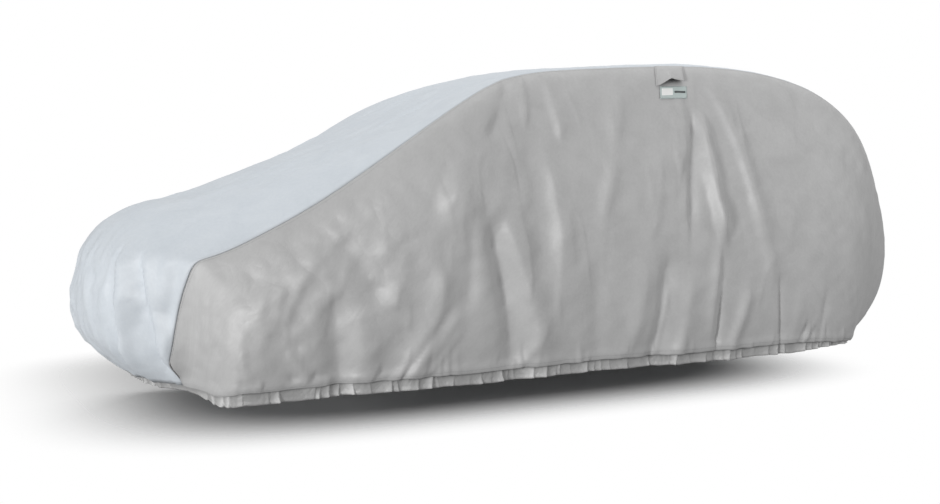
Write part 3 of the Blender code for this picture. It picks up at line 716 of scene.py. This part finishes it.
SIDE_TURN, SIDE_LEAN, SIDE_RISE = 0.5, 0.16, 0.55
LEFT_COLUMNS, RIGHT_COLUMNS = 700, 440
SIDE_ROWS = 68
HEM_PUFF, HEM_PUFF_AT, HEM_PUFF_REACH = 0.0055, 0.026, 0.022  # the cloth blouses out a little above the hem
HEM_WAVE, HEM_WAVE_REACH = 0.0022, 0.05
HEM_HOLD_DEPTH = 0.0035  # how deep a crease can still be at the hem, where the elastic holds the cloth out
HEM_HOLD_REACH, HEM_HOLD_OVER = 0.06, 0.05
GATHERS_FROM_X, GATHERS_TO_X = -1.72, 1.95
GATHER_TOP, GATHER_FOOT = 0.26, 0.24
# Painted shade: darker at the hem's edge over the band, and low on the side, where less light falls.
HEM_DARK, HEM_DARK_REACH = 0.60, 0.003  # how much darker the hem's edge is, and how far up that spreads
LOW_DARK, LOW_DARK_REACH = 0.14, 0.30  # the same two for the low part of the side
SIDE_CRUMPLED, MORE_SIDE_CRUMPLED, SIDE_CRUMPLED_FROM_X = 0.40, 0.45, -0.75

grey_cloth = cloth_material("grey_cloth", (0.474, 0.474, 0.474), (0.426, 0.426, 0.426), (0.20, 0.20, 0.20),
                            0.52, 0.05, 8.0, 0.0050)


def side_surface(places, shares, far=False):
    """Folded points of a side panel, a column for each distance along the seam."""
    seam, handle, foot = outline_at(places)
    drop = np.linalg.norm(seam - foot, axis=1, keepdims=True)
    reach = np.linalg.norm(handle, axis=1, keepdims=True)
    leaving = handle * np.minimum(1, drop / (3 * reach)) * SIDE_TURN
    hem_run = np.gradient(foot, places, axis=0)
    outward = unit(np.stack([hem_run[:, 1], -hem_run[:, 0], 0 * hem_run[:, 0]], axis=1))
    rise = (seam[:, 2:] - foot[:, 2:]) * SIDE_RISE
    arriving = foot + rise * (np.array([0, 0, 1]) + SIDE_LEAN * outward)
    points = bezier(seam, seam + leaving, arriving, foot, shares)
    if far:
        points = points * FLIP
    return folded(points, MAIN_FOLDS)


def side_panel(count, far):
    """A side panel's grid with its flat cut: fine rows at the seam and hem, even ones between."""
    columns = panel_columns(count)
    middle = int(np.searchsorted(columns, SEAM_KNOTS[SIDE_MIDDLE]))
    steps = np.concatenate([[0, 0.0013, 0.0028, 0.0046, 0.0068], np.linspace(0.012, 0.955, SIDE_ROWS - 11),
                            [0.963, 0.971, 0.979, 0.986, 0.992, 0.997, 1.0]])
    at_middle = columns[middle - 1:middle + 2]
    shares = even_shares(lambda t: side_surface(at_middle, t, far)[1], steps)
    grid = side_surface(columns, shares, far)
    turned = unit(outline_at(columns)[1]) * (FLIP if far else 1)
    grid[:, 0] += turned * SEAM_GAP / 2
    return grid, flat_cut(grid, middle)


def hem_gathers(face, seed, count):
    """Short upright puckers where the elastic draws the cloth in above the hem."""
    dice = np.random.default_rng(seed)
    gathers = []
    for _ in range(count):
        x = dice.uniform(GATHERS_FROM_X, GATHERS_TO_X)
        tall = dice.uniform(0.04, 0.18)
        lean = dice.uniform(-0.3, 0.5) * tall
        wide = dice.uniform(0.012, 0.026)
        height = dice.uniform(0.0025, 0.0065)
        line = x + lean, GATHER_TOP + tall, x, GATHER_FOOT - 0.5 * tall, 0.0
        if dice.random() < 0.5:
            gathers.append(Fold(face, *line, wide, wide * 0.5, height))
        else:
            gathers.append(Fold(face, *line, wide * 0.4, wide, -height))
    return gathers


# What the left side shows beyond its main folds: sharp ones that start at the front corner of the roof
# and under the label, two long pressed lines towards the back, drag lines and notches at the hem, and
# soft crumples and upright ridges over the front.
left_creases = folds_on("left", [
    (-0.02, 1.88, 0.08, 1.40, 0.006, 0.014, 0.016, 0.007),  # corner of the roof
    (0.25, 1.66, 0.24, 1.40, -0.006, 0.030, 0.014, 0.007),
    (0.41, 1.30, 0.43, 1.04, 0.002, 0.022, 0.012, 0.007),
    (0.80, 1.72, 0.92, 1.02, 0.040, 0.014, 0.020, 0.007),  # under the label
    (0.885, 0.72, 0.875, 0.06, 0.010, 0.007, 0.012, -0.008),  # first pressed line
    (1.245, 0.70, 1.355, 0.06, 0.0, 0.007, 0.012, -0.007),  # second pressed line
    (1.45, 1.80, 1.52, 1.54, 0.0, 0.018, 0.012, 0.006),
    (1.58, 0.42, 1.45, 0.24, 0.003, 0.014, 0.010, 0.011),  # crumple at the back of the hem
    (1.51, 0.42, 1.42, 0.22, 0.0, 0.010, 0.014, -0.011),
    (1.44, 0.40, 1.56, 0.37, 0.0, 0.014, 0.010, 0.007),
    (0.56, 0.66, 0.46, 0.20, 0.006, 0.018, 0.012, 0.008),  # drags towards the hem
    (-0.20, 0.48, -0.38, 0.24, -0.007, 0.026, 0.014, 0.009),
    (-0.66, 0.52, -0.88, 0.24, 0.0, 0.018, 0.014, 0.009),
    (-1.85, 0.72, -1.84, 0.44, 0.002, 0.020, 0.014, 0.013),  # corner of the nose
    (-1.81, 0.72, -1.81, 0.46, 0.002, 0.012, 0.018, 0.011),
    (-1.72, 0.60, -1.70, 0.24, 0.006, 0.030, 0.022, 0.011),
    (-1.88, 0.56, -1.86, 0.36, 0.0, 0.012, 0.012, 0.008),
    (-1.73, 0.35, -1.69, 0.15, 0.003, 0.012, 0.030, -0.018),  # wedges above the hem
    (-1.62, 0.34, -1.63, 0.15, -0.004, 0.008, 0.022, -0.020),
    (-1.46, 0.37, -1.54, 0.16, 0.001, 0.026, 0.040, -0.012),
    (-1.36, 0.36, -1.47, 0.15, -0.004, 0.012, 0.032, -0.020),
    (-1.06, 0.36, -1.16, 0.15, -0.001, 0.012, 0.032, -0.020),
    (-0.94, 0.34, -1.02, 0.16, 0.0, 0.010, 0.026, -0.012),
    (-1.36, 0.82, -1.72, 0.56, 0.010, 0.036, 0.030, 0.009),  # crumples over the front
    (-1.26, 0.74, -1.58, 0.42, -0.012, 0.034, 0.034, 0.009),
    (-1.44, 0.76, -1.54, 0.54, 0.002, 0.026, 0.018, 0.009),
    (-1.20, 0.98, -1.48, 0.72, 0.019, 0.036, 0.030, 0.007),
    (-1.18, 0.98, -1.32, 0.62, 0.015, 0.036, 0.046, -0.007),
    (-1.02, 1.04, -1.18, 0.70, 0.024, 0.040, 0.044, -0.007),
    (-0.96, 0.92, -0.98, 0.58, 0.020, 0.034, 0.030, 0.007),
    (-1.62, 0.54, -1.42, 0.44, 0.0, 0.024, 0.020, -0.010),
    (-1.52, 0.46, -1.40, 0.30, 0.0, 0.026, 0.020, 0.009),
])
LEFT_SCATTERS = [
    (31, "left", 24, (-1.72, 0.38), (-0.95, 0.98), (8, 56), (0.14, 0.32), (0.030, 0.056), (0.003, 0.0065)),
    (32, "left", 20, (-1.60, 0.55), (-0.80, 1.25), (-10, 50), (0.14, 0.34), (0.030, 0.056), (0.002, 0.005)),
    (33, "left", 70, (-0.80, 0.40), (1.80, 1.66), (-16, 16), (0.12, 0.46), (0.016, 0.040), (0.0015, 0.005)),
]
RIGHT_SCATTERS = [
    (41, "right", 50, (-1.72, 0.38), (-0.95, 0.98), (-10, 60), (0.10, 0.24), (0.022, 0.040), (0.003, 0.007)),
    (42, "right", 110, (-1.00, 0.40), (1.90, 1.62), (-14, 14), (0.16, 0.56), (0.018, 0.044), (0.002, 0.007)),
]
right_creases = []
for creases, scatters in ((left_creases, LEFT_SCATTERS), (right_creases, RIGHT_SCATTERS)):
    for scatter in scatters:
        creases += scattered_creases(*scatter)
left_creases += hem_gathers("left", 34, 48)
right_creases += hem_gathers("right", 43, 52)

# A darker patch along the line of the flap's lower edge. It stands in for shade: the photograph's gap under
# the flap is darker than the modelled one.
POCKET_X, POCKET_Z, POCKET_SLOPE, POCKET_SAG = 0.677, 1.7030, 0.187, 0.9
POCKET_REACH, POCKET_DEPTH, POCKET_DARK = 0.078, 0.0190, 0.95

side_grids, hem_lines = {}, {}
for name, node, count, far, creases, seed in (
        ("side_cloth_left", "side_panel_left", LEFT_COLUMNS, False, left_creases, 35),
        ("side_cloth_right", "side_panel_right", RIGHT_COLUMNS, True, right_creases, 45)):
    grid, uv = side_panel(count, far)
    hem_lines[node] = grid[:, -1].copy()
    normals = surface_normals(grid)
    from_seam = uv[..., 1]
    from_hem = uv[:, -1:, 1] - uv[..., 1]
    settled = smooth_step((from_seam - CALM_TO) / CALM_OVER)
    done = creased(grid, normals, creases, settled)
    done += (DENTS * waves(seed, grid, DENTS_SHORT, DENTS_LONG) * settled)[..., None] * normals
    raised = np.sum((done - grid) * normals, axis=-1)
    held = smooth_step((HEM_HOLD_REACH - from_hem) / HEM_HOLD_OVER)
    too_deep = np.maximum(0, -raised - HEM_HOLD_DEPTH) * held
    done += too_deep[..., None] * normals
    done -= grooved(from_seam)[..., None] * normals
    done += (HEM_PUFF * np.exp(-((from_hem - HEM_PUFF_AT) / HEM_PUFF_REACH)**2))[..., None] * normals
    dice = np.random.default_rng(seed)
    wave = sum(np.sin(done[:, -1, 0] * dice.uniform(9, 60) + dice.uniform(0, 6)) for _ in range(5)) / 3
    done[..., 2] += HEM_WAVE * wave[:, None] * smooth_step((HEM_WAVE_REACH - from_hem) / HEM_WAVE_REACH)
    done[0] = done[0, :1]
    done[-1] = done[-1, :1]
    forward = smooth_step((SIDE_CRUMPLED_FROM_X - done[..., 0]) / CRUMPLED_OVER)
    crumpled = SIDE_CRUMPLED + MORE_SIDE_CRUMPLED * forward
    # Painted shade in the seam's groove, at the hem's edge, low on the side, and under the flap.
    darkened = SEAM_DARK * np.exp(-from_seam / SEAM_DARK_REACH)
    darkened += HEM_DARK * np.exp(-from_hem / HEM_DARK_REACH)
    darkened += LOW_DARK * smooth_step(1 - from_hem / LOW_DARK_REACH)
    if node == "side_panel_left":
        along = done[..., 0] - POCKET_X
        above = done[..., 2] - POCKET_Z - POCKET_SLOPE * along + POCKET_SAG * along**2
        darkened += POCKET_DARK * np.exp(-(along / POCKET_REACH)**6 - (above / POCKET_DEPTH)**4)
    piece = add_piece(name, done, uv, grey_cloth, CLOTH, crumpled=crumpled, darkened=darkened)
    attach(piece, "root")
    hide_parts(node)
    side_grids[node] = done


# Hem band: a strip of neutral grey cloth folded over elastic and sewn inside the lower edge of all three
# panels. The elastic draws it into uneven tucks that lean over one another, and its edge is a round roll.

BAND_DROP, BAND_TUCK, BAND_INSET, BAND_CURL = 0.055, 0.006, 0.009, 0.006
END_DROP, END_CURL = 0.030, 0.020
NOSE_FROM_X, NOSE_FULL_X = -1.74, -1.89
TAIL_FROM_X, TAIL_FULL_X = 1.35, 1.98
TAIL_DROP = 0.014
BAND_COLUMNS, BAND_ROWS = 3000, 9
BAND_SKIN = 0.0012
BAND_BACK = 0.0030  # how far the band's outer face stands off its inner one
ROLL_RADIUS = 0.0040
TUCK_GAP = (0.024, 0.120)  # run between two tucks
TUCK_HEIGHT = (0.0070, 0.0190)
TUCK_DROP = 0.0045
# The cloth is darkened between the tucks, up to where they stand out by TUCK_BRIGHT. It stands in for shade:
# the photograph's tucks are darker between than the modelled ones.
TUCK_BRIGHT, BAND_DARK = 0.0110, 0.50
# Painted shade at the band's top, where it runs in under the panels' edge.
BAND_SEAM_DARK, BAND_SEAM_REACH = 0.80, 0.008
BAND_CRUMPLED = 0.8
BAND_UNEVEN = 0.003  # how far its drop varies
MEAN_REACH, RUN_REACH = 6, 4  # columns either way that smooth the loop, and that give its direction

band_cloth = cloth_material("band_cloth", (0.560, 0.560, 0.558), (0.440, 0.440, 0.438), (0.10, 0.10, 0.10),
                            0.55, 0.15, 30.0, 0.0035)

loop = np.concatenate([hem_lines["side_panel_left"], rear_hem[1:-1], hem_lines["side_panel_right"][::-1],
                       front_hem[::-1][1:]])
loop[-1] = loop[0]
reached = reached_along(loop)
length = reached[-1]
around = np.linspace(0, length, BAND_COLUMNS + 1)
loop = np.stack([np.interp(around, reached, loop[:, axis]) for axis in range(3)], axis=1)
shifts = range(-MEAN_REACH, MEAN_REACH + 1)
near_mean = sum(np.roll(loop[:-1], shift, axis=0) for shift in shifts) / len(shifts)
run = np.roll(near_mean, -RUN_REACH, axis=0) - np.roll(near_mean, RUN_REACH, axis=0)
inward = unit(np.stack([-run[:, 1], run[:, 0], 0 * run[:, 0]], axis=1))
inward = np.concatenate([inward, inward[:1]])
nose = smooth_step((loop[:, 0] - NOSE_FROM_X) / (NOSE_FULL_X - NOSE_FROM_X))
tail = smooth_step((loop[:, 0] - TAIL_FROM_X) / (TAIL_FULL_X - TAIL_FROM_X))
drop = BAND_DROP + nose * (END_DROP - BAND_DROP) + tail * (TAIL_DROP - BAND_DROP)
curl = BAND_CURL + (nose + tail) * (END_CURL - BAND_CURL)

dice = np.random.default_rng(51)
down = np.linspace(0, 1, BAND_ROWS + 1)
tucks = np.zeros((BAND_COLUMNS + 1, BAND_ROWS + 1))
start = 0.0
while start < length:
    end = min(start + dice.uniform(*TUCK_GAP) * dice.choice([0.6, 1, 1.4]), length)
    tall = dice.uniform(*TUCK_HEIGHT)
    lean = dice.uniform(-0.012, 0.012)
    low, high = dice.uniform(0.1, 1.2), dice.uniform(0.0, 1.1)
    place = around[:, None] - lean * (down[None, :] - 0.5)
    rising = np.clip((place - start) / max(end - start, 0.006), 0, 1)**1.5
    falling = np.clip(1 - (place - end) / TUCK_DROP, 0, 1)
    inside = (place > start) & (place < end + TUCK_DROP)
    tucks += np.where(inside, tall * (high + (low - high) * down) * np.minimum(rising, falling), 0)
    start = end
tucks *= smooth_step(np.minimum(around, length - around) / 0.03)[:, None]
uneven = sum(np.sin(2 * math.pi * around / length * turns + dice.uniform(0, 6))
             for turns in (23, 41, 67, 109)) / 4
band = np.empty((BAND_COLUMNS + 1, BAND_ROWS + 1, 3))
for row, share in enumerate(down):
    roll = ROLL_RADIUS * math.exp(-((share - 0.90) / 0.10)**2)
    drawn = BAND_INSET - BAND_BACK + share * curl - roll
    band[:, row] = loop + (drawn - tucks[:, row] * (0.25 + 0.75 * share))[:, None] * inward
    fall = share * (BAND_TUCK + drop + BAND_UNEVEN * uneven)
    band[:, row, 2] = loop[:, 2] + BAND_TUCK - fall
band[-1] = band[0]
band_uv = np.stack(np.broadcast_arrays(around[:, None], down[None, :] * BAND_DROP), axis=-1)
# Painted shade under the panels' edge and between the tucks.
darkened = BAND_SEAM_DARK * np.exp(-down * BAND_DROP / BAND_SEAM_REACH)
darkened = darkened + BAND_DARK * (1 - np.clip(tucks / TUCK_BRIGHT, 0, 1))
hem_band = add_piece("hem_band_cloth", band, band_uv, band_cloth, BAND_SKIN,
                     crumpled=np.full(band.shape[:2], BAND_CRUMPLED), darkened=darkened)
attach(hem_band, "root")
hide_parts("hem_band")


# Flap: a small piece of the grey cloth sewn in at the left roof seam. It hangs free, has one soft ridge a
# little in front of its middle, and its lower edge stands off the panel and dips at its front corner.

# Slant is how far a patch runs forward on its way down, and dip how far its lower front corner hangs below.
Patch = namedtuple("Patch", "from_x to_x from_share to_share slant dip rows columns")
FLAP = Patch(0.640, 0.828, 0.004, 0.207, 0.060, 0.022, 32, 44)
PATCH_OUT = np.array([0, -0.77, 0.64])
FLAP_CLEAR, FLAP_STAND, FLAP_FOLD = 0.003, 0.024, 0.010
# FLAP_DARK is painted shade along the flap's two sides.
FLAP_CRUMPLED, FLAP_DARK, FLAP_DARK_REACH = 0.4, 0.25, 0.002


def patch_on_left(patch):
    """Grid over the left panel between two places, with its shares across and down."""
    near = slice(11, 16)  # the sections along the roof
    across = np.linspace(0, 1, patch.columns + 1)
    down = np.linspace(0, 1, patch.rows + 1)
    grid = np.empty((patch.columns + 1, patch.rows + 1, 3))
    for row, part in enumerate(down):
        x = patch.from_x + (patch.to_x - patch.from_x) * across - patch.slant * part
        share = patch.from_share + (patch.to_share - patch.from_share) * part
        places = np.interp(x, SECTION_TABLE[near, 0], SEAM_KNOTS[near])
        high = side_surface(places, np.array([share]))[:, 0]
        low = side_surface(places, np.array([share + patch.dip * part]))[:, 0]
        grid[:, row] = high + (low - high) * smooth_step(1 - across / 0.6)[:, None]
    return grid, across[:, None], down[None, :]


flap_grid, across, down = patch_on_left(FLAP)
arch = smooth_step(across / 0.42) * (1 - 0.45 * smooth_step((across - 0.55) / 0.45))
ridge = np.exp(-(((across - 0.34 - 0.12 * down) / 0.11)**2))
lift = FLAP_CLEAR + down**1.3 * (FLAP_STAND * arch + FLAP_FOLD * ridge)
flap_grid = flap_grid + lift[..., None] * PATCH_OUT
flap_uv = flat_cut(flap_grid, 0)
flap_edge = np.minimum(flap_uv[..., 0], flap_uv[-1:, :, 0] - flap_uv[..., 0])
flap = add_piece("flap_cloth", flap_grid, flap_uv, grey_cloth, CLOTH,
                 crumpled=np.full(flap_grid.shape[:2], FLAP_CRUMPLED),
                 darkened=FLAP_DARK * np.exp(-flap_edge / FLAP_DARK_REACH))
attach(flap, "root")
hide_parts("flap")


# Label: a small smooth cloth patch sewn flat under the flap, pale green-grey, with a plain white block at
# one end and a plain dark bar beside it. It carries no words.

LABEL = Patch(0.604, 0.782, 0.233, 0.300, 0.022, 0.0, 16, 48)
LABEL_CLOTH, LABEL_CLEAR = 0.001, 0.005
LABEL_HEM, LABEL_HEM_DROP = 0.003, 0.0012
Block = namedtuple("Block", "across down colour")
LABEL_BLOCKS = [
    Block((0.010, 0.080), (0.014, 0.058), (0.86, 0.87, 0.86)),
    Block((0.090, 0.168), (0.032, 0.046), (0.07, 0.08, 0.08)),
]

label_paint, tree, shader = new_material("label_cloth")
place = tree.nodes.new("ShaderNodeTexCoord").outputs["UV"]
split = add_node(tree, "ShaderNodeSeparateXYZ", place).outputs
cloth = use_group(tree, spunbond, Cut=place, Pitch=0.0008)
colour = mix_colours(tree, cloth["Cloud"], (0.44, 0.51, 0.50), (0.50, 0.57, 0.56))
for block in LABEL_BLOCKS:
    sides = []
    for axis, low, high in (("X", *block.across), ("Y", *block.down)):
        sides.append(math_node(tree, "GREATER_THAN", split[axis], low))
        sides.append(math_node(tree, "LESS_THAN", split[axis], high))
    mask = math_node(tree, "MULTIPLY", math_node(tree, "MULTIPLY", sides[0], sides[1]),
                     math_node(tree, "MULTIPLY", sides[2], sides[3]))
    colour = mix_colours(tree, mask, colour, block.colour)
dull = add_node(tree, "ShaderNodeMapRange", cloth["Cloud"], 0.3, 0.7, 0.50, 0.42).outputs[0]
weave = bump_node(tree, Height=cloth["Height"], Strength=0.4, Distance=0.0001)
wire_named(tree, shader, Base_Color=colour, Roughness=dull, Normal=weave, Specular_IOR_Level=0.4)

label_grid = patch_on_left(LABEL)[0] + LABEL_CLEAR * PATCH_OUT
label_uv = flat_cut(label_grid, 0)
edge = np.minimum(np.minimum(label_uv[..., 0], label_uv[-1:, :, 0] - label_uv[..., 0]),
                  np.minimum(label_uv[..., 1], label_uv[:, -1:, 1] - label_uv[..., 1]))
label_grid -= (LABEL_HEM_DROP * np.clip(1 - edge / LABEL_HEM, 0, 1))[..., None] * PATCH_OUT
label = add_piece("label_patch", label_grid, label_uv, label_paint, LABEL_CLOTH)
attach(label, "root")
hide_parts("label")


# Stitching: dark grey polyester thread, one row on each side panel just below its seam and one above its
# hem, a row along the top and the two sides of the flap, and a row round the label. Each stitch is a small
# bead of thread on the cloth.

STITCH_PITCH = 0.0060
STITCH_LENGTH, STITCH_WIDTH = 0.0040, 0.0010
STITCH_SHORT, STITCH_LONG = 0.85, 1.15  # shares of that length
STITCH_RISE = 0.2  # share of the thread's width from the face of the cloth up to the thread's middle

thread, tree, shader = new_material("thread")
place = tree.nodes.new("ShaderNodeTexCoord").outputs["Object"]
twist = mix_colours(tree, noise_node(tree, place, 300, 2)["Fac"], (0.10, 0.10, 0.105), (0.17, 0.17, 0.175))
wire_named(tree, shader, Base_Color=twist, Roughness=0.55)

stitching = bpy.data.node_groups.new("stitching", "GeometryNodeTree")
stitching.interface.new_socket("Path", in_out="INPUT", socket_type="NodeSocketGeometry")
stitching.interface.new_socket("Stitches", in_out="OUTPUT", socket_type="NodeSocketGeometry")


def stitch_node(kind, **sources):
    return wire_named(stitching, stitching.nodes.new(kind), **sources)


path = stitching.nodes.new("NodeGroupInput").outputs["Path"]
spaced = add_node(stitching, "GeometryNodeResampleCurve", mode="LENGTH")
spaced = wire_named(stitching, spaced, Curve=stitch_node("GeometryNodeMeshToCurve", Mesh=path)["Curve"],
                    Length=STITCH_PITCH)["Curve"]
turned = add_node(stitching, "FunctionNodeAlignRotationToVector", axis="X")
turned = wire_named(stitching, turned, Vector=stitch_node("GeometryNodeInputTangent")["Tangent"])["Rotation"]
bead = stitch_node("GeometryNodeMeshIcoSphere", Radius=0.5, Subdivisions=1)["Mesh"]
uneven = add_node(stitching, "FunctionNodeRandomValue", data_type="FLOAT")
uneven.inputs[2].default_value = STITCH_SHORT
uneven.inputs[3].default_value = STITCH_LONG
uneven.inputs["Seed"].default_value = 61
grown = math_node(stitching, "MULTIPLY", STITCH_LENGTH, uneven.outputs[1])
size = stitch_node("ShaderNodeCombineXYZ", X=grown, Y=STITCH_WIDTH, Z=STITCH_WIDTH)["Vector"]
sewn = stitch_node("GeometryNodeInstanceOnPoints", Points=spaced, Instance=bead, Rotation=turned, Scale=size)
real = stitch_node("GeometryNodeRealizeInstances", Geometry=sewn["Instances"])["Geometry"]
coloured = stitch_node("GeometryNodeSetMaterial", Geometry=real, Material=thread)["Geometry"]
wire_named(stitching, stitching.nodes.new("NodeGroupOutput"), Stitches=coloured)


def add_stitches(name, paths):
    """One piece of stitches along one or more rows of points."""
    path_mesh = bpy.data.meshes.new(name + "_path")
    points = np.concatenate(paths) - HELD
    edges, start = [], 0
    for path in paths:
        edges += [(start + i, start + i + 1) for i in range(len(path) - 1)]
        start += len(path)
    path_mesh.from_pydata(points.tolist(), edges, [])
    path_object = put_in_scene(name + "_path", path_mesh)
    path_object.modifiers.new("stitching", "NODES").node_group = stitching
    depsgraph = bpy.context.evaluated_depsgraph_get()
    mesh = bpy.data.meshes.new_from_object(path_object.evaluated_get(depsgraph), depsgraph=depsgraph)
    bpy.data.objects.remove(path_object)
    mesh.shade_smooth()
    piece = put_in_scene(name, mesh)
    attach(piece, "root")


def row_on(grid, row):
    """The points of one row of a panel's grid, lifted to where its thread lies."""
    return grid[:, row] + surface_normals(grid)[:, row] * (CLOTH + STITCH_WIDTH * STITCH_RISE)


SEAM_ROW, HEM_ROW = 5, -4
for name, node in (("seam_stitches_left", "side_panel_left"), ("seam_stitches_right", "side_panel_right")):
    add_stitches(name, [row_on(side_grids[node], SEAM_ROW)[2:-2]])
add_stitches("hem_stitches", [row_on(grid, HEM_ROW)[3:-3] for grid in side_grids.values()])
flap_rows = [flap_grid[1:-1, 2], flap_grid[2, 2:-1], flap_grid[-3, 2:-1]]
label_rows = [label_grid[1:-1, 1], label_grid[1:-1, -2], label_grid[1, 1:-1], label_grid[-2, 1:-1]]
add_stitches("flap_stitches", [row + PATCH_OUT * (CLOTH + STITCH_WIDTH * STITCH_RISE) for row in flap_rows]
             + [row + PATCH_OUT * (LABEL_CLOTH + STITCH_WIDTH * STITCH_RISE) for row in label_rows])
